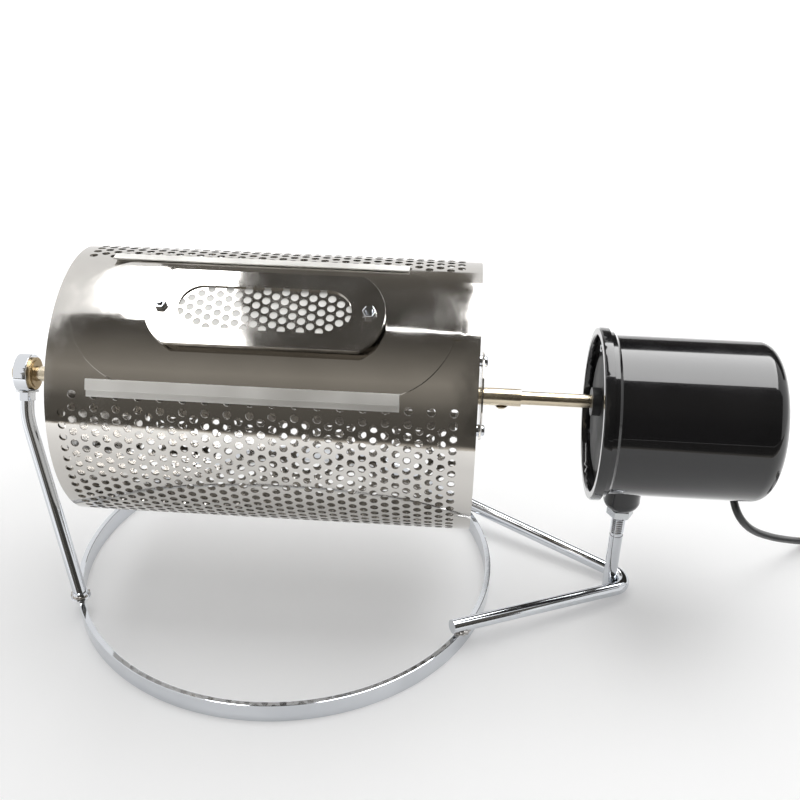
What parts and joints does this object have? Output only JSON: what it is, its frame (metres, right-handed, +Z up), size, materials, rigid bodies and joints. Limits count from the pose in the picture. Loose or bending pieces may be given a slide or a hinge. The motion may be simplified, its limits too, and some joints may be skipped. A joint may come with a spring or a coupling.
{
  "type": "home coffee bean roaster",
  "caption": "Perforated steel drum with a sliding door, turned by a geared motor on a bent-rod stand with a round foot ring.",
  "frame": {"origin": "on the floor, under the middle of the roaster's whole length, in the vertical plane of the drum's axis", "axes": "+X along the drum's axis from the bush to the motor, -Y the side that the door faces, +Z up"},
  "size_m": [0.5256, 0.234, 0.1953],
  "materials": {
    "polished_steel": "mirror-polished stainless sheet with a faint rolled grain",
    "chrome": "bright chrome plate",
    "warm_nickel": "nickel-plated steel with a warm tint, finely turned",
    "bronze": "sintered bronze, dull",
    "zinc": "pale zinc plate",
    "gloss_black": "glossy black stove enamel",
    "dark_metal": "satin black paint",
    "black_plastic": "moulded black plastic",
    "pale_pad": "pressed white insulating felt",
    "cord_black": "black PVC sheath",
    "plug_brass": "nickel-plated blades"
  },
  "bodies": {
    "stand": {"base_ring": "chrome", "v_brace": "chrome", "left_upright": "chrome", "right_upright": "chrome", "bearing_holder": "chrome", "bearing_bush": "bronze", "bearing_washer": "zinc", "bearing_nut": "zinc", "mount_nut": "zinc", "mount_boss": "black_plastic", "motor_can": "gloss_black", "motor_rim": "gloss_black", "motor_plate": "dark_metal", "plate_screws": "zinc", "gear_motor": "dark_metal", "shaft_boss": "black_plastic", "cord_grommet": "black_plastic", "cord": "cord_black", "cord_coil": "cord_black", "plug_body": "black_plastic", "plug_pins": "plug_brass"},
    "drum": {"drum_sheet": "polished_steel", "left_end_cap": "polished_steel", "right_end_cap": "polished_steel", "mixing_vanes": "polished_steel", "lower_rail": "polished_steel", "upper_rail": "polished_steel", "right_hub_plate": "polished_steel", "left_hub_plate": "polished_steel", "right_hub_screws": "zinc", "left_hub_screws": "zinc", "shaft_socket": "warm_nickel", "set_screw": "zinc", "drive_shaft": "warm_nickel", "left_axle": "warm_nickel", "axle_clip": "zinc"},
    "door": {"door_panel": "polished_steel", "grip_frame": "polished_steel", "grip_mesh": "polished_steel", "grip_pad": "pale_pad", "grip_spacers": "zinc", "grip_studs": "zinc", "grip_nuts": "zinc"}
  },
  "joints": [
    {"name": "drum_turn", "type": "hinge", "parent": "stand", "child": "drum", "pos_m": [-0.05305, 0, 0.1208], "axis": [1, 0, 0], "continuous": true},
    {"name": "door_slide", "type": "slide", "parent": "drum", "child": "door", "axis": [1, 0, 0], "range_m": [-0.14, 0]}
  ]
}
